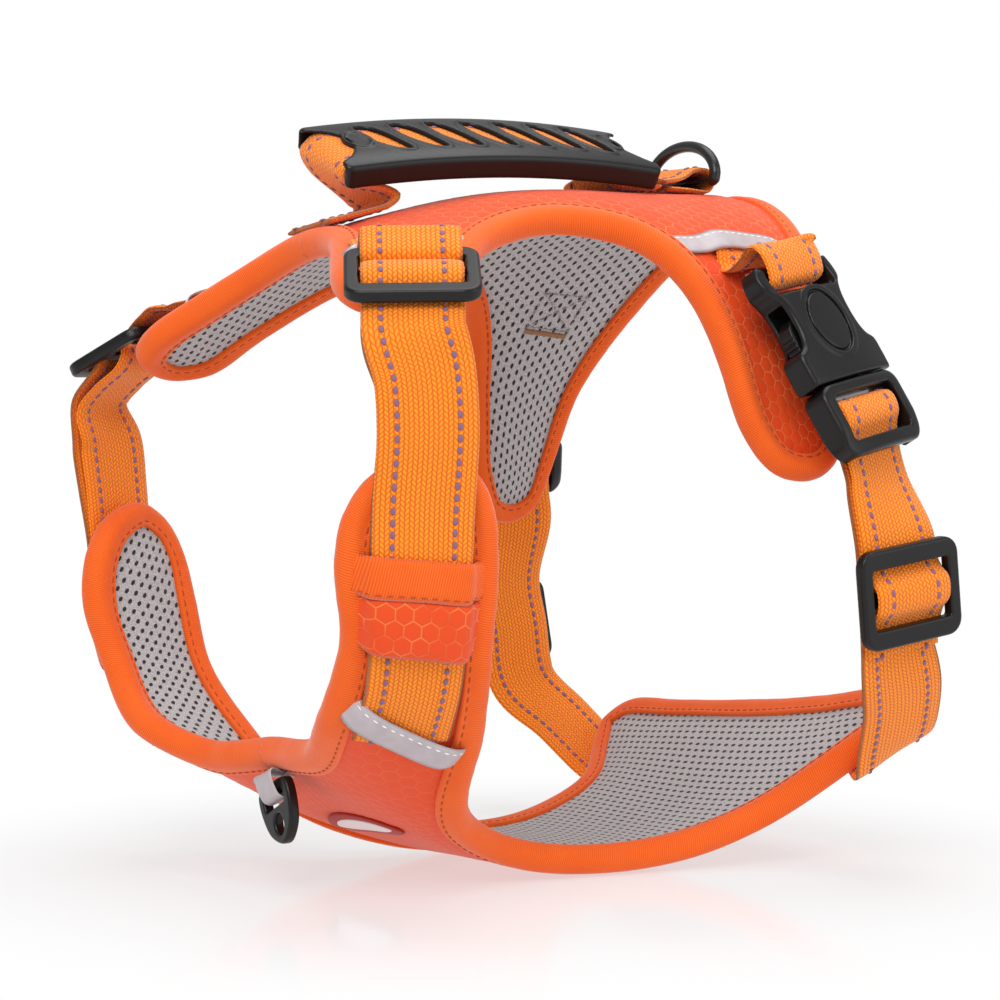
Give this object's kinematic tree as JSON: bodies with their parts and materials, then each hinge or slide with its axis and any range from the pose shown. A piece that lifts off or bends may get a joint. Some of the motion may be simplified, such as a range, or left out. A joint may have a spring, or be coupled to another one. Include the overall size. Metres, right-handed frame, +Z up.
{
  "type": "no pull dog harness",
  "caption": "Padded dog harness with back and chest panels, webbing straps, sliders, side-release buckles, a carrying handle, a back leash ring and a chest leash ring.",
  "frame": {"origin": "on the floor, below the middle of the whole harness's box", "axes": "+X towards the dog's left side, -Y towards its head, +Z up"},
  "size_m": [0.1984, 0.1906, 0.2087],
  "materials": {
    "shell_fabric": "woven polyester with an embossed honeycomb",
    "edge_binding": "ribbed woven binding tape",
    "webbing": "heavy nylon webbing with stitched lines",
    "lining_mesh": "spacer mesh with small oval holes",
    "foam": "closed-cell padding, hidden inside",
    "reflective_tape": "grey reflective ribbon",
    "label_patch": "plain woven patch with no lettering",
    "black_plastic": "moulded acetal, fine matte texture",
    "coated_metal": "black coating, semi-gloss"
  },
  "bodies": {
    "harness": {"back_shell": "shell_fabric", "back_foam": "foam", "back_lining": "lining_mesh", "back_binding": "edge_binding", "chest_shell": "shell_fabric", "chest_foam": "foam", "chest_lining": "lining_mesh", "chest_binding": "edge_binding", "left_buckle_socket": "black_plastic", "left_shoulder_anchor": "webbing", "left_shoulder_strap": "webbing", "left_girth_anchor": "webbing", "left_girth_strap": "webbing", "left_front_reflector": "reflective_tape", "left_rear_reflector": "reflective_tape", "left_chest_reflector": "reflective_tape", "left_keeper": "shell_fabric", "left_keeper_band": "edge_binding", "right_buckle_socket": "black_plastic", "right_shoulder_anchor": "webbing", "right_shoulder_strap": "webbing", "right_girth_anchor": "webbing", "right_girth_strap": "webbing", "right_front_reflector": "reflective_tape", "right_rear_reflector": "reflective_tape", "right_chest_reflector": "reflective_tape", "right_keeper": "shell_fabric", "right_keeper_band": "edge_binding", "handle_webbing": "webbing", "leash_ring_webbing": "webbing", "chest_ring_ribbon": "reflective_tape", "chest_label": "label_patch"},
    "handle": {"handle_grip": "black_plastic"},
    "leash_ring": {"leash_ring": "coated_metal"},
    "chest_ring": {"chest_ring": "black_plastic"},
    "left_plug": {"left_buckle_plug": "black_plastic"},
    "left_arm_front": {"left_release_arm_front": "black_plastic"},
    "left_arm_rear": {"left_release_arm_rear": "black_plastic"},
    "left_shoulder_slider": {"left_shoulder_slider": "black_plastic"},
    "left_girth_slider": {"left_girth_slider": "black_plastic"},
    "right_plug": {"right_buckle_plug": "black_plastic"},
    "right_arm_front": {"right_release_arm_front": "black_plastic"},
    "right_arm_rear": {"right_release_arm_rear": "black_plastic"},
    "right_shoulder_slider": {"right_shoulder_slider": "black_plastic"},
    "right_girth_slider": {"right_girth_slider": "black_plastic"}
  },
  "joints": [
    {"name": "handle_swing", "type": "hinge", "parent": "harness", "child": "handle", "pos_m": [0, -0.00865, 0.19055], "axis": [0, 1, 0], "range_deg": [-50, 4], "deforming": ["handle_webbing"]},
    {"name": "leash_ring_swing", "type": "hinge", "parent": "harness", "child": "leash_ring", "pos_m": [-0.00079, 0.06169, 0.19154], "axis": [1, 0, 0], "range_deg": [-75, 40]},
    {"name": "chest_ring_swing", "type": "hinge", "parent": "harness", "child": "chest_ring", "pos_m": [0.00431, -0.07512, 0.02703], "axis": [0.8924, 0, 0.4512], "range_deg": [-75, 3]},
    {"name": "left_plug_slide", "type": "slide", "parent": "harness", "child": "left_plug", "axis": [0.4235, 0.2622, -0.8671], "range_m": [0, 0.022], "deforming": ["left_girth_strap"]},
    {"name": "left_front_arm_squeeze", "type": "hinge", "parent": "left_plug", "child": "left_arm_front", "pos_m": [0.08347, 0.04347, 0.13223], "axis": [-0.8671, -0.16, -0.4718], "range_deg": [0, 7]},
    {"name": "left_rear_arm_squeeze", "type": "hinge", "parent": "left_plug", "child": "left_arm_rear", "pos_m": [0.07748, 0.06517, 0.13587], "axis": [0.8671, 0.16, 0.4718], "range_deg": [0, 7]},
    {"name": "left_girth_slider_slide", "type": "slide", "parent": "left_plug", "child": "left_girth_slider", "axis": [0.0504, -0.1412, 0.9887], "range_m": [-0.01, 0.002], "deforming": ["left_girth_strap"]},
    {"name": "left_shoulder_slider_tilt", "type": "hinge", "parent": "harness", "child": "left_shoulder_slider", "pos_m": [0.06684, -0.07185, 0.16444], "axis": [-0.51, -0.8601, -0.0125], "range_deg": [0, 25], "deforming": ["left_shoulder_strap"]},
    {"name": "right_plug_slide", "type": "slide", "parent": "harness", "child": "right_plug", "axis": [-0.4235, 0.2622, -0.8671], "range_m": [0, 0.022], "deforming": ["right_girth_strap"]},
    {"name": "right_front_arm_squeeze", "type": "hinge", "parent": "right_plug", "child": "right_arm_front", "pos_m": [-0.08347, 0.04347, 0.11522], "axis": [-0.8671, 0.16, 0.4718], "range_deg": [0, 7]},
    {"name": "right_rear_arm_squeeze", "type": "hinge", "parent": "right_plug", "child": "right_arm_rear", "pos_m": [-0.07748, 0.06517, 0.11886], "axis": [0.8671, -0.16, -0.4718], "range_deg": [0, 7]},
    {"name": "right_girth_slider_slide", "type": "slide", "parent": "right_plug", "child": "right_girth_slider", "axis": [-0.0504, -0.1412, 0.9887], "range_m": [-0.01, 0.002], "deforming": ["right_girth_strap"]},
    {"name": "right_shoulder_slider_tilt", "type": "hinge", "parent": "harness", "child": "right_shoulder_slider", "pos_m": [-0.06684, -0.07185, 0.14785], "axis": [-0.51, 0.8601, 0.0125], "range_deg": [0, 25], "deforming": ["right_shoulder_strap"]}
  ]
}
